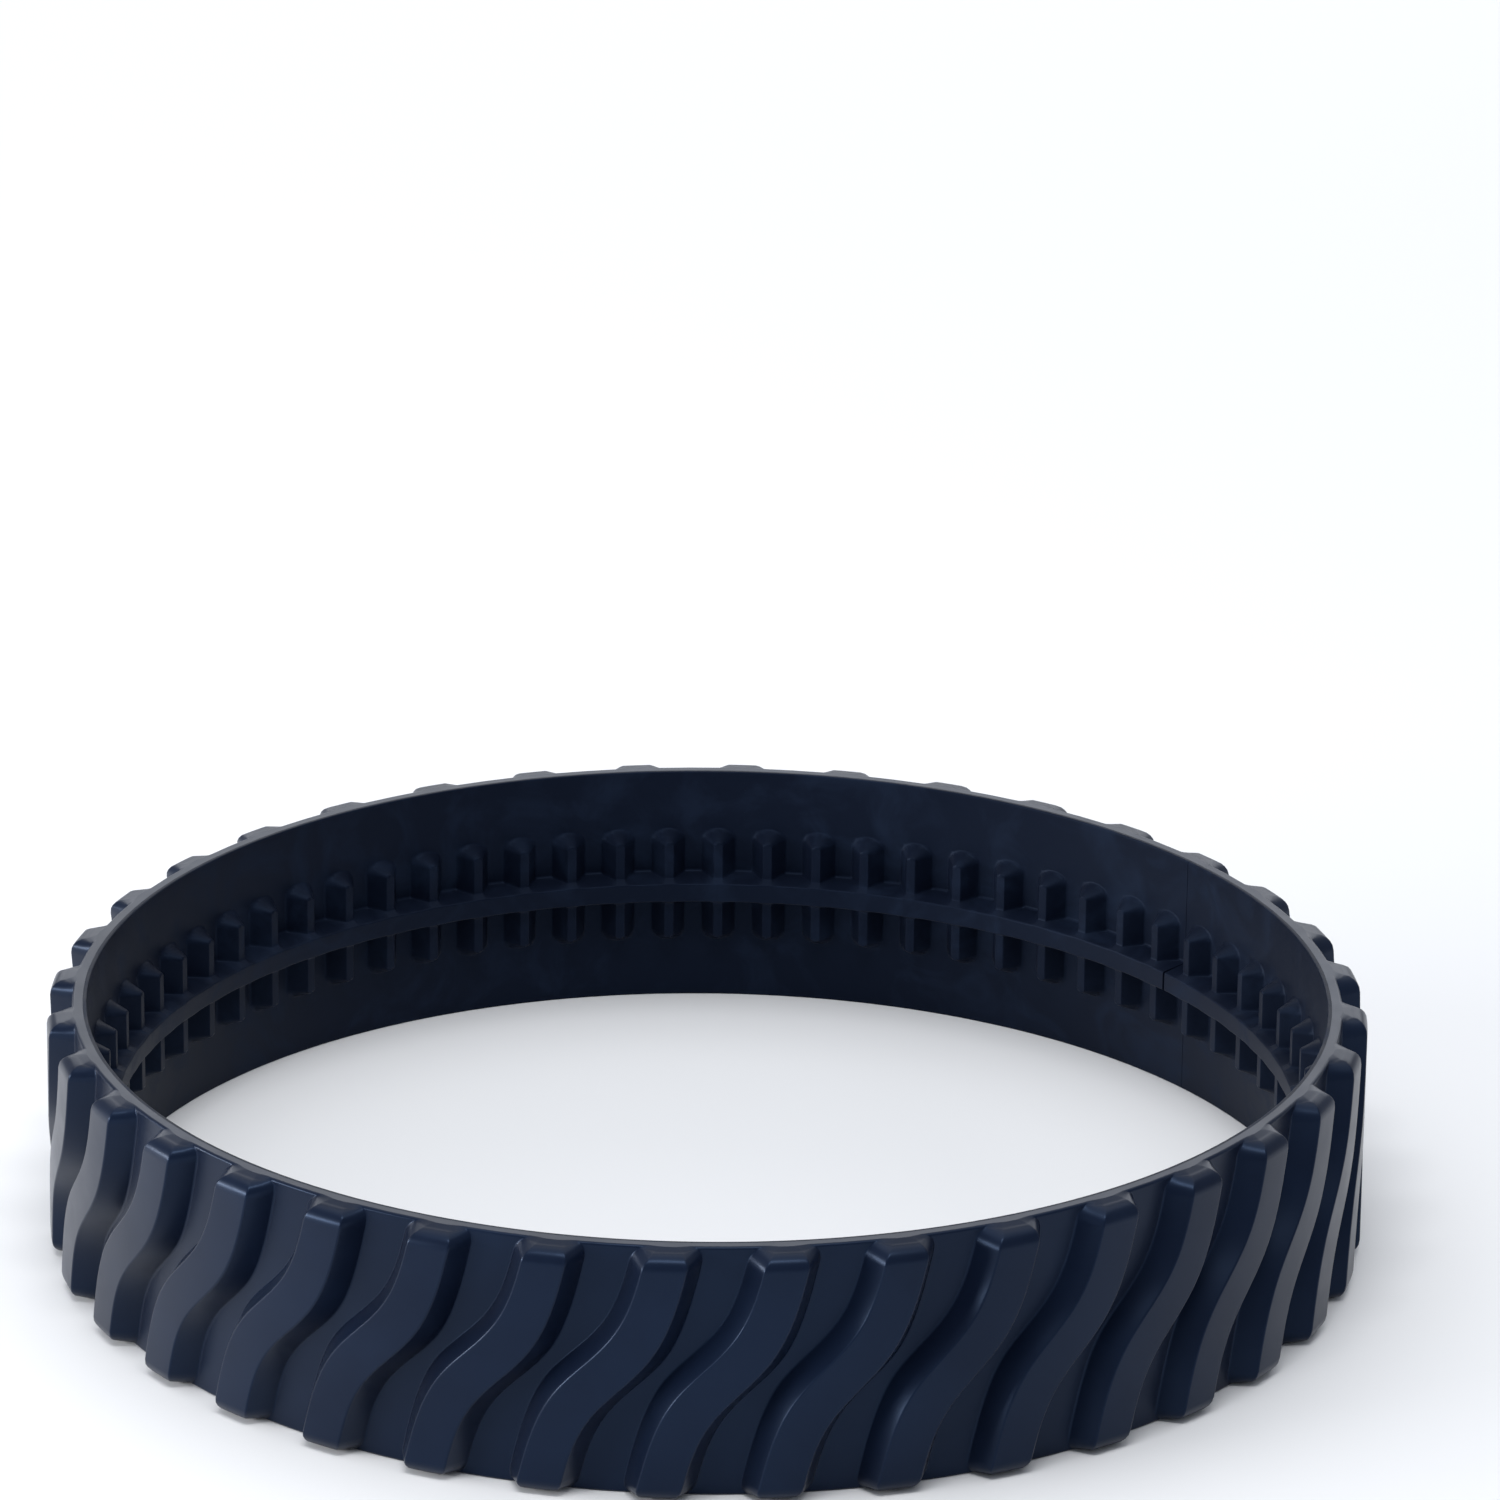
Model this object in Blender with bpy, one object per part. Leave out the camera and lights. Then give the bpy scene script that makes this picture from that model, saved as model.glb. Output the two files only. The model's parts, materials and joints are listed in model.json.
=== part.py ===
"""Endless rubber drive track for a small two-wheel machine.

The loop lies on one side edge with its axis along +Z and the origin at the
middle of its underside. Wave-shaped tread bars stand on the outside. A guide
rib and two rows of drive teeth stand on the inside, and a thin cord ply runs
between the outer and the inner rubber. The loop bends, so it is built as a ring
of equal links. Each link turns on an axis in the middle of the cord ply, where
a bent belt keeps its length.
"""
import math

import bmesh
import bpy
from mathutils import Vector

MM = 0.001

# Loop
TOOTH_PITCH = 9.525 * MM
TOOTH_COUNT = 72
BAR_COUNT = 36
LINK_COUNT = 18
LAST_RIGHT_LINK = 7
TRACK_WIDTH = 44.45 * MM

# Band, from the inner rubber through the cords to the tread rubber
SKIN_THICKNESS = 0.7 * MM
PLY_THICKNESS = 0.6 * MM
LAYER_GAP = 0.3 * MM
EDGE_LIP = 1.2 * MM

# Tread bars
BAR_HEIGHT = 4.4 * MM
BAR_TOP_WIDTH = 7.2 * MM
BAR_FLANK_RUN = 2.2 * MM
BAR_END_ROLL = 1.9 * MM
BAR_END_STEP = 0.4 * MM
BAR_END_DROP = 1.5 * MM
WAVE_LEAN = 0.2
WAVE_SWING = 6.54 * MM
WAVE_TIGHTNESS = 0.39

# Guide rib and drive teeth
RIB_HEIGHT = 5.0 * MM
RIB_ROOT_WIDTH = 5.0 * MM
RIB_CREST_WIDTH = 3.5 * MM
TOOTH_HEIGHT = 3.5 * MM
TOOTH_BASE_LENGTH = 6.2 * MM
TOOTH_CREST_LENGTH = 1.7 * MM
TOOTH_BASE_REACH = 11.0 * MM
TOOTH_CREST_REACH = 9.4 * MM

# Bending: how far a link turns against its neighbour, and the gap at its axis
STRAIGHTEN_DEG = 20.0
CURL_DEG = 24.0
NOTCH_SPARE_DEG = 1.0
HINGE_GAP = 0.4 * MM

# Radii that follow
PITCH_RADIUS = TOOTH_COUNT * TOOTH_PITCH / (2 * math.pi)
PLY_OUTER = PITCH_RADIUS + PLY_THICKNESS / 2
PLY_INNER = PITCH_RADIUS - PLY_THICKNESS / 2
TREAD_INNER = PLY_OUTER + LAYER_GAP
TREAD_FLOOR = TREAD_INNER + SKIN_THICKNESS
TREAD_TOP = TREAD_FLOOR + BAR_HEIGHT
LINING_OUTER = PLY_INNER - LAYER_GAP
LINING_FACE = LINING_OUTER - SKIN_THICKNESS
LIP_INNER = LINING_OUTER + LAYER_GAP

LINK_ANGLE = 2 * math.pi / LINK_COUNT
BAR_ANGLE = 2 * math.pi / BAR_COUNT
TOOTH_ANGLE = 2 * math.pi / TOOTH_COUNT
HALF_WIDTH = TRACK_WIDTH / 2
FRONT_ANGLE = math.radians(270)

RUBBER_COLOR = (0.014, 0.019, 0.036, 1.0)
LINING_COLOR = (0.011, 0.015, 0.028, 1.0)
CORD_COLOR = (0.36, 0.31, 0.22, 1.0)


def clear_scene():
    """Remove everything that is in the scene."""
    for old in list(bpy.data.objects):
        bpy.data.objects.remove(old, do_unlink=True)


def material(name, color, roughness):
    """A plain non-metal finish."""
    finish = bpy.data.materials.new(name)
    finish.use_nodes = True
    shader = finish.node_tree.nodes["Principled BSDF"]
    shader.inputs["Base Color"].default_value = color
    shader.inputs["Roughness"].default_value = roughness
    shader.inputs["Metallic"].default_value = 0.0
    finish.diffuse_color = color
    return finish


def polar(radius, angle, z):
    """A point at a radius and an angle about the loop's axis."""
    return Vector((radius * math.cos(angle), radius * math.sin(angle), z))


def wave_shift(z):
    """How far round the loop a bar's centre line has moved at height z."""
    across = z - HALF_WIDTH
    bend = WAVE_SWING * math.tanh(across / (HALF_WIDTH * WAVE_TIGHTNESS))
    return (WAVE_LEAN * across + bend) / TREAD_TOP


def wave_stretch(z):
    """Length round the loop of one unit of bar width, which grows with the slope."""
    steep = (z - HALF_WIDTH) / (HALF_WIDTH * WAVE_TIGHTNESS)
    slope = WAVE_LEAN + WAVE_SWING / (HALF_WIDTH * WAVE_TIGHTNESS) / math.cosh(steep) ** 2
    return math.hypot(1.0, slope)


def bar_stations():
    """Height across the track and bar height there, from one side edge to the other."""
    ends = [(0.0, 0.0), (BAR_END_STEP, BAR_HEIGHT - BAR_END_DROP), (BAR_END_ROLL, BAR_HEIGHT)]
    middle = [(HALF_WIDTH * (1 + part), BAR_HEIGHT) for part in (-0.6, -0.33, 0, 0.33, 0.6)]
    mirrored = [(TRACK_WIDTH - z, height) for z, height in reversed(ends)]
    return ends + middle + mirrored


def bar_lines(z, height, centre):
    """Angles and radii of a bar's foot, shoulder, shoulder and foot at one station."""
    shoulder_height = height if height > 0 else BAR_HEIGHT - BAR_END_DROP
    stretch = wave_stretch(z)
    foot = (BAR_TOP_WIDTH / 2 + BAR_FLANK_RUN) * stretch / TREAD_FLOOR
    fallen = BAR_FLANK_RUN * (1 - shoulder_height / BAR_HEIGHT)
    shoulder = (BAR_TOP_WIDTH / 2 + fallen) * stretch / (TREAD_FLOOR + shoulder_height)
    middle = centre + wave_shift(z)
    top = TREAD_FLOOR + height
    return [
        (middle - foot, TREAD_FLOOR),
        (middle - shoulder, top),
        (middle + shoulder, top),
        (middle + foot, TREAD_FLOOR),
    ]


def add_strips(shape, rows):
    """Faces between neighbouring rows of points."""
    for low, high in zip(rows, rows[1:]):
        for left in range(len(low) - 1):
            shape.faces.new((low[left], low[left + 1], high[left + 1], high[left]))


def cut_at_hinges(shape, lean):
    """Cut the strip to one link. Each cut leans back from the hinge axis."""
    for side in (-1, 1):
        angle = side * LINK_ANGLE / 2
        outward = polar(1.0, angle, 0.0)
        along = side * Vector((-outward.y, outward.x, 0.0))
        normal = along * math.cos(lean) + outward * math.sin(lean)
        bmesh.ops.bisect_plane(
            shape,
            geom=shape.verts[:] + shape.edges[:] + shape.faces[:],
            dist=1e-7,
            plane_co=outward * PITCH_RADIUS - along * HINGE_GAP / 2,
            plane_no=normal,
            clear_outer=True,
        )
    rim = [edge for edge in shape.edges if edge.is_boundary]
    bmesh.ops.holes_fill(shape, edges=rim, sides=0)


def finish_mesh(shape, name):
    """Turn the working shape into a mesh with its faces pointing out."""
    bmesh.ops.recalc_face_normals(shape, faces=shape.faces[:])
    mesh = bpy.data.meshes.new(name)
    shape.to_mesh(mesh)
    shape.free()
    mesh.shade_smooth()
    mesh.set_sharp_from_angle(angle=math.radians(25))
    return mesh


def tread_mesh():
    """Outer rubber of one link: two whole bars' worth of wave tread on its skin."""
    shape = bmesh.new()
    centres = [BAR_ANGLE * step for step in (-1.5, -0.5, 0.5, 1.5)]
    outer_rows = []
    for z, height in bar_stations():
        lines = [line for centre in centres for line in bar_lines(z, height, centre)]
        outer_rows.append([shape.verts.new(polar(radius, angle, z)) for angle, radius in lines])
    add_strips(shape, outer_rows)

    inner_profile = [
        (0.0, LIP_INNER),
        (EDGE_LIP, LIP_INNER),
        (EDGE_LIP, TREAD_INNER),
        (TRACK_WIDTH - EDGE_LIP, TREAD_INNER),
        (TRACK_WIDTH - EDGE_LIP, LIP_INNER),
        (TRACK_WIDTH, LIP_INNER),
    ]
    columns = [BAR_ANGLE / 2 * step for step in range(-3, 4)]
    inner_rows = []
    for z, radius in inner_profile:
        inner_rows.append([shape.verts.new(polar(radius, angle, z)) for angle in columns])
    add_strips(shape, inner_rows)
    for end in (0, -1):
        shape.faces.new(outer_rows[end] + inner_rows[end][::-1])

    cut_at_hinges(shape, math.radians(STRAIGHTEN_DEG + NOTCH_SPARE_DEG) / 2)
    return finish_mesh(shape, "tread_link")


def ply_mesh():
    """Cord ply of one link: a thin curved strip, shut in by the rubber all round."""
    shape = bmesh.new()
    columns = [BAR_ANGLE / 2 * step for step in range(-3, 4)]
    low = EDGE_LIP + LAYER_GAP
    high = TRACK_WIDTH - low
    corners = [(PLY_INNER, low), (PLY_OUTER, low), (PLY_OUTER, high), (PLY_INNER, high)]
    rows = []
    for radius, z in corners:
        rows.append([shape.verts.new(polar(radius, angle, z)) for angle in columns])
    add_strips(shape, rows + rows[:1])
    cut_at_hinges(shape, 0.0)
    return finish_mesh(shape, "cord_ply_link")


def lining_columns():
    """Angles of each tooth's foot, crest, crest and foot, and whether it is a crest."""
    foot = TOOTH_BASE_LENGTH / 2 / LINING_FACE
    crest = TOOTH_CREST_LENGTH / 2 / (LINING_FACE - TOOTH_HEIGHT)
    columns = []
    for step in (-2.5, -1.5, -0.5, 0.5, 1.5, 2.5):
        centre = step * TOOTH_ANGLE
        columns += [(centre - foot, False), (centre - crest, True)]
        columns += [(centre + crest, True), (centre + foot, False)]
    return columns


def lining_stations():
    """Height across the track, tooth height and rib height there."""
    half = [
        (-TOOTH_BASE_REACH, 0.0, 0.0),
        (-TOOTH_CREST_REACH, TOOTH_HEIGHT, 0.0),
        (-RIB_ROOT_WIDTH / 2, TOOTH_HEIGHT, 0.0),
        (-RIB_CREST_WIDTH / 2, RIB_HEIGHT, RIB_HEIGHT),
    ]
    mirrored = [(-across, tooth, rib) for across, tooth, rib in reversed(half)]
    return [(HALF_WIDTH + across, tooth, rib) for across, tooth, rib in half + mirrored]


def lining_mesh():
    """Inner rubber of one link: running face, guide rib and two rows of drive teeth."""
    shape = bmesh.new()
    columns = lining_columns()
    rows = []
    for z, tooth, rib in lining_stations():
        row = []
        for angle, is_crest in columns:
            height = tooth if is_crest else rib
            row.append(shape.verts.new(polar(LINING_FACE - height, angle, z)))
        rows.append(row)
    add_strips(shape, rows)

    feet = [number for number, (angle, is_crest) in enumerate(columns) if not is_crest]
    edges = []
    for z, row in ((0.0, rows[0]), (TRACK_WIDTH, rows[-1])):
        face_edge = [shape.verts.new(polar(LINING_FACE, columns[number][0], z)) for number in feet]
        back_edge = [shape.verts.new(polar(LINING_OUTER, columns[number][0], z)) for number in feet]
        for step in range(len(feet) - 1):
            across_row = row[feet[step]:feet[step + 1] + 1]
            shape.faces.new([face_edge[step + 1], face_edge[step]] + across_row)
        add_strips(shape, [face_edge, back_edge])
        edges.append(back_edge)
    add_strips(shape, edges)

    cut_at_hinges(shape, -math.radians(CURL_DEG + NOTCH_SPARE_DEG) / 2)
    return finish_mesh(shape, "lining_link")


def hinge_point(side):
    """Axis of a link's joint with its neighbour on one side, in the link's own frame."""
    return polar(PITCH_RADIUS, side * LINK_ANGLE / 2, 0.0)


def place_link(number, parent, side, meshes):
    """Add one link beyond its parent and return the empty on its joint's axis.

    side is +1 where the chain runs anticlockwise from the front link, -1 where it
    runs clockwise, and 0 for the front link itself.
    """
    axis = bpy.data.objects.new(f"axis_{number:02d}", None)
    axis.empty_display_size = 4 * MM
    bpy.context.collection.objects.link(axis)
    own_hinge = hinge_point(-side) if side else Vector()
    if parent is None:
        axis.rotation_euler.z = FRONT_ANGLE
    else:
        axis.parent = parent
        parent_hinge = hinge_point(-side) if parent["side"] else Vector()
        axis.location = hinge_point(side) - parent_hinge
        axis.rotation_euler.z = side * LINK_ANGLE
    axis["side"] = side
    for name, mesh in meshes.items():
        piece = bpy.data.objects.new(f"{name}_{number:02d}", mesh)
        bpy.context.collection.objects.link(piece)
        piece.parent = axis
        piece.location = -own_hinge
    return axis


def build():
    """Build the ring of links as two chains that meet past the last right-hand link."""
    clear_scene()
    meshes = {"tread": tread_mesh(), "cord_ply": ply_mesh(), "lining": lining_mesh()}
    meshes["tread"].materials.append(material("moulded_tread_rubber", RUBBER_COLOR, 0.5))
    meshes["cord_ply"].materials.append(material("tension_cord", CORD_COLOR, 0.8))
    meshes["lining"].materials.append(material("moulded_inner_rubber", LINING_COLOR, 0.55))

    front = place_link(1, None, 0, meshes)
    right = front
    for number in range(2, LAST_RIGHT_LINK + 1):
        right = place_link(number, right, 1, meshes)
    left = front
    for number in range(LINK_COUNT, LAST_RIGHT_LINK, -1):
        left = place_link(number, left, -1, meshes)
    bpy.context.view_layer.update()


build()
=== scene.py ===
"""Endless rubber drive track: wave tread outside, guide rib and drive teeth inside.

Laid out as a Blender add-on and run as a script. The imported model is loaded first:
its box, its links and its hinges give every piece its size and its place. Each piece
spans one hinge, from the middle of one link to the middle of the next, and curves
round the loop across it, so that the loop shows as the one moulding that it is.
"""

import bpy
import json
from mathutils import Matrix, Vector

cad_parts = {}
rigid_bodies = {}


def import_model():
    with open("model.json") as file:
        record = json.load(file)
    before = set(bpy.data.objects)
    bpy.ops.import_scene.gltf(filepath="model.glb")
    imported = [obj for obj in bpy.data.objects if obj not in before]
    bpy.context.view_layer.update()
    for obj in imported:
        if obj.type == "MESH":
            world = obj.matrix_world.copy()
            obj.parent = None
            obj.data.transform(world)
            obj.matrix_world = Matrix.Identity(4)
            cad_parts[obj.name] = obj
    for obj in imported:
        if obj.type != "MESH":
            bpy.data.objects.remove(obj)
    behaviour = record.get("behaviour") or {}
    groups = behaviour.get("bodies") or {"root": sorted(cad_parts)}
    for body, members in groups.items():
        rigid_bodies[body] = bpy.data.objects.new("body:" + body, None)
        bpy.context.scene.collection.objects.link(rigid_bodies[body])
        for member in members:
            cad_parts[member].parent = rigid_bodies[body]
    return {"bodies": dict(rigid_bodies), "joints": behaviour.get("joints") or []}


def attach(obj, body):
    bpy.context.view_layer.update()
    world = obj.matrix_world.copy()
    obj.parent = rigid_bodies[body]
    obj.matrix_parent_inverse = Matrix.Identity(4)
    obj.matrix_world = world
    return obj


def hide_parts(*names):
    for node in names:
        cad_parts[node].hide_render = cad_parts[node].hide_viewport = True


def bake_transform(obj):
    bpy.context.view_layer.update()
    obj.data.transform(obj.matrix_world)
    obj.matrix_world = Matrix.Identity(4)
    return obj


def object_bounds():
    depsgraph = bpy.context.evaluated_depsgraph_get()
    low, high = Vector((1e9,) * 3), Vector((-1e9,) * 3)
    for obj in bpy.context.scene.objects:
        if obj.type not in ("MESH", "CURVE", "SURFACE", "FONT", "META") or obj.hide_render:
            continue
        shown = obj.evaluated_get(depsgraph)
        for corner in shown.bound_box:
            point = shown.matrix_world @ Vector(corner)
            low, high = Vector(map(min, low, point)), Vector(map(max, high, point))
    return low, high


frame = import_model()
CAD_BOX = [list(corner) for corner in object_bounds()]

import json
import math

import bmesh
import bpy
import numpy as np
from bpy.props import FloatProperty, FloatVectorProperty, IntProperty, PointerProperty
from bpy.types import Operator, Panel, PropertyGroup
from mathutils import Matrix, Vector

bl_info = {
    "name": "Rubber drive track",
    "version": (1, 0, 0),
    "blender": (4, 5, 0),
    "location": "View3D > Sidebar > Track",
    "description": "Builds an endless rubber drive track round its packed frame",
    "category": "Object",
}

MM = 0.001

# What the frame gives
LINKS = sorted(frame["bodies"])
JOINED = {frozenset((joint["parent"], joint["child"])) for joint in frame["joints"]}
PITCH_RADIUS = math.hypot(*frame["joints"][0]["pos_m"][:2])
TREAD_TOP = (CAD_BOX[1][0] - CAD_BOX[0][0]) / 2
TRACK_WIDTH = CAD_BOX[1][2] - CAD_BOX[0][2]
HALF_WIDTH = TRACK_WIDTH / 2
LINK_ANGLE = 2 * math.pi / len(LINKS)
FRONT_ANGLE = math.radians(270)
# How much tighter the loop bends at its open pivot when it is fully flexed
OPEN_PIVOT_BEND = math.radians(4)

# Layers of the band, outwards and inwards from the middle of the cords
PLY_THICKNESS = 0.6 * MM
PLY_CLEARANCE = 0.3 * MM
SKIN_THICKNESS = 0.7 * MM
EDGE_LIP = 1.2 * MM
PARTING_GAP = 0.02 * MM
TREAD_INNER = PITCH_RADIUS + PLY_THICKNESS / 2 + PLY_CLEARANCE
LINING_OUTER = PITCH_RADIUS - PLY_THICKNESS / 2 - PLY_CLEARANCE
LINING_FACE = LINING_OUTER - SKIN_THICKNESS
LIP_MEETS = LINING_OUTER + PARTING_GAP

# A tooth's rounded end falls this much faster than its flanks
TOOTH_END_ROUNDNESS = 1.41

# What a face belongs to, which says how its corners are shaded
FLAT, MOULDED, BACK = 0, 1, 2
# How finely the grids are divided: round an edge, across the track and along a cord
ARC_STEPS = 4
SHORT_ARC_STEPS = 3
WAVE_STEPS = 16
BACK_STEPS = 11
RIB_TO_TEETH_STEPS = 5
TEETH_TO_EDGE_STEPS = 4
CORD_STEPS = 12
# Where a cord's section has its points, in degrees from its top
CORD_TURNS = (-66, -45, -15, 15, 45, 66)
# How near two points may lie before they count as one, in metres
WELD_DISTANCE = 1e-6
# How far either side of a point its slope is felt
SLOPE_STEP = 0.02 * MM

# Moulded rubber bends light like this, and its soft reflections are tinted blue
RUBBER_IOR = 1.52
RUBBER_SHEEN = "#849FC9"

# Half the side of the square floor, in metres
FLOOR_HALF = 3.0
# How the camera stands: down from level, rolled, and round the track from the front
CAMERA_PITCH = math.radians(20.63)
CAMERA_ROLL = math.radians(0.62)
CAMERA_ROUND = math.radians(3.2)
# The middle of the track's underside, in track radii right of, above and ahead of the lens
CAMERA_SEES = Vector((-0.0726, -0.7753, 14.677)) * LINING_FACE


def linear_colour(code):
    """The linear RGBA of an sRGB hex colour."""
    channels = [int(code[place:place + 2], 16) / 255 for place in (1, 3, 5)]
    linear = [c / 12.92 if c <= 0.04045 else ((c + 0.055) / 1.055) ** 2.4 for c in channels]
    return (*linear, 1.0)


def length(name, description, millimetres):
    """A length that a user may change, with its default in millimetres."""
    return FloatProperty(
        name=name, description=description, default=millimetres * MM,
        unit="LENGTH", subtype="DISTANCE", precision=5,
    )


def colour(name, description, code):
    """A colour that a user may change, with its default as sRGB hex."""
    return FloatVectorProperty(
        name=name, description=description, default=linear_colour(code),
        size=4, min=0.0, max=1.0, subtype="COLOR",
    )


def power(name, description, watts):
    """The power of a lamp that a user may change."""
    return FloatProperty(name=name, description=description, default=watts, min=0.0, unit="POWER")


class TreadSizes(PropertyGroup):
    """Sizes of the wave bars on the outside."""

    bar_count: IntProperty(
        name="Bars", description="Wave bars round the whole loop", default=36, min=18, max=90,
    )
    bar_height: length("Bar height", "Height of a bar above the groove floor", 4.4)
    bar_top: length("Bar top width", "Width of a bar's level top, square to the wave", 7.2)
    flank_run: length("Flank run", "How far a bar's flank leans out down to its foot", 2.2)
    crest_radius: length("Crest radius", "Rounding of a bar's long edges", 0.45)
    foot_radius: length("Foot radius", "Fillet where a flank meets the groove floor", 0.5)
    end_run: length("End face run", "How far a bar's end face leans in", 0.35)
    end_round: length("End rounding", "Rounding from a bar's top down to its end face", 2.7)
    corner_round: length("Corner rounding", "Rounding of a bar's corners, seen from above", 2.6)
    edge_round: length("Edge rounding", "Rounding of the band's side edge between bars", 0.5)
    wave_swing: length("Wave swing", "How far the S of the wave moves each end of a bar", 6.54)
    wave_lean: FloatProperty(
        name="Wave lean", description="Steady lean of the wave at the bar's ends", default=0.2,
    )
    wave_tightness: FloatProperty(
        name="Wave tightness", description="Share of the half width that the S takes",
        default=0.39, min=0.05, max=1.0, subtype="FACTOR",
    )


class LiningSizes(PropertyGroup):
    """Sizes of the guide rib and the drive teeth on the inside."""

    tooth_count: IntProperty(
        name="Teeth", description="Drive teeth in each of the two rows", default=72, min=36,
        max=180,
    )
    rib_height: length("Rib height", "Height of the guide rib above the running face", 5.0)
    rib_root: length("Rib root width", "Width of the rib at the running face", 5.0)
    rib_crest: length("Rib crest width", "Width of the rib at its crest", 3.5)
    rib_edge: length("Rib edge radius", "Rounding of the rib's two crest edges", 0.35)
    rib_fillet: length("Rib fillet", "Fillet where the rib meets the running face", 0.6)
    tooth_height: length("Tooth height", "Height of a drive tooth", 3.5)
    tooth_foot: length("Tooth foot length", "Length of a tooth's foot round the loop", 6.2)
    tooth_crest: length("Tooth crest length", "Length of a tooth's level crest", 1.7)
    tooth_reach: length("Tooth reach", "Reach of a tooth's foot from the middle", 11.0)
    tooth_edge: length("Tooth edge radius", "Rounding of a tooth's crest edges", 0.22)
    tooth_fillet: length("Tooth fillet", "Fillet where a tooth meets the running face", 0.7)
    edge_round: length("Edge rounding", "Rounding of the lining's side edges", 0.3)


class CordSizes(PropertyGroup):
    """Sizes of the tension cords inside the band."""

    cord_spacing: length("Cord spacing", "From one cord to the next across the track", 1.5)
    film: length("Film thickness", "Thickness of the rubber film between the cords", 0.24)
    twist_length: length("Twist length", "Length of one turn of a cord's strands", 3.0)


class TrackColours(PropertyGroup):
    """Colours of the rubber and the cords."""

    tread: colour("Tread rubber", "Carbon-filled tread rubber", "#0D1424")
    tread_pale: colour("Tread, paler", "Where the tread rubber is drier", "#111A2C")
    lining: colour("Lining rubber", "Carbon-filled inner rubber", "#0C1220")
    bloom: colour("Bloom", "Wax and release agent dried on the lining", "#172031")
    cord: colour("Tension cord", "Undyed polyester cord", "#A89F88")
    cord_shadow: colour("Cord, shaded", "Between the strands of a cord", "#6E6654")


class StageSettings(PropertyGroup):
    """Floor, light and camera."""

    floor: colour("Floor", "Pale paper sweep", "#F3F4F6")
    surroundings: colour("Surroundings", "Light that comes from the whole room", "#EAF0FA")
    room_light: FloatProperty(
        name="Room light", description="Strength of the light from the room", default=0.42,
        min=0.0,
    )
    overhead_light: power("Overhead light", "Wide softbox over the track", 15.0)
    front_light: power("Front light", "Softbox high above the camera", 5.0)
    back_light: power("Back light", "Wide low softbox behind the track", 4.0)
    side_light: power("Side light", "Long low softbox at the left", 10.0)
    lens: FloatProperty(
        name="Lens", description="Focal length on a sensor 36 mm wide", default=216.0,
        min=10.0, unit="CAMERA",
    )


# ---------------------------------------------------------------- shapes


def polar(radius, angle, z):
    """Points at radii and angles about the loop's axis, as rows of x, y, z."""
    return np.stack(np.broadcast_arrays(radius * np.cos(angle), radius * np.sin(angle), z), -1)


def flank_profile(distance, shoulder, foot, height, edge_radius, fillet_radius):
    """Height beside a raised shape: level up to its shoulder, straight down to its foot.

    Two arcs round the edge at the shoulder and fill the corner at the foot.
    """
    slope = math.atan2(height, foot - shoulder)
    edge_start = shoulder - edge_radius * math.tan(slope / 2)
    fillet_end = foot + fillet_radius * math.tan(slope / 2)
    edge_run = edge_radius * math.sin(slope)
    fillet_run = fillet_radius * math.sin(slope)
    into_edge = np.clip(distance - edge_start, 0, edge_run)
    edge = height - edge_radius + np.sqrt(edge_radius**2 - into_edge**2)
    short_of_end = np.clip(fillet_end - distance, 0, fillet_run)
    fillet = fillet_radius - np.sqrt(fillet_radius**2 - short_of_end**2)
    straight = height * (foot - distance) / (foot - shoulder)
    inside = distance < edge_start + edge_run
    outside = distance > fillet_end - fillet_run
    return np.where(inside, edge, np.where(outside, fillet, straight))


def arc_stations(corner, radius, slope, inwards, steps):
    """Where to put points along the arc at a flank's corner, from its start to its end."""
    reach = radius * math.tan(slope / 2)
    turns = [math.sin(slope * step / steps) for step in range(steps + 1)]
    if inwards:
        return [corner - reach + radius * turn for turn in turns]
    return [corner + reach - radius * turn for turn in reversed(turns)]


def quarter_round(inset, radius):
    """Depth of a rounded edge below its face at a distance in from the side."""
    short = np.clip(radius - inset, 0, radius)
    return radius - np.sqrt(radius**2 - short**2)


def evenly(start, end, steps):
    """Evenly spaced places after the start, up to and with the end."""
    return list(np.linspace(start, end, steps + 1)[1:])


def inset_of(z):
    """Distance in from the nearer side edge."""
    return np.minimum(z, TRACK_WIDTH - z)


def wave_shift(z, sizes):
    """Angle by which the wave has moved round the loop at height z."""
    across = z - HALF_WIDTH
    bend = sizes.wave_swing * np.tanh(across / (HALF_WIDTH * sizes.wave_tightness))
    return (sizes.wave_lean * across + bend) / TREAD_TOP


def wave_stretch(z, sizes):
    """Length round the loop of one unit of bar width, which grows with the slope."""
    tightness = HALF_WIDTH * sizes.wave_tightness
    slope = sizes.wave_lean + sizes.wave_swing / tightness / np.cosh((z - HALF_WIDTH) / tightness)**2
    return np.hypot(1.0, slope)


def bar_flank(sizes):
    """Half widths of a bar at its shoulder and its foot, at the mean radius, and that radius."""
    floor = TREAD_TOP - sizes.bar_height
    mean = TREAD_TOP - sizes.bar_height / 2
    shoulder = sizes.bar_top / 2 * mean / TREAD_TOP
    foot = (sizes.bar_top / 2 + sizes.flank_run) * mean / floor
    return shoulder, foot, mean


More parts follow.
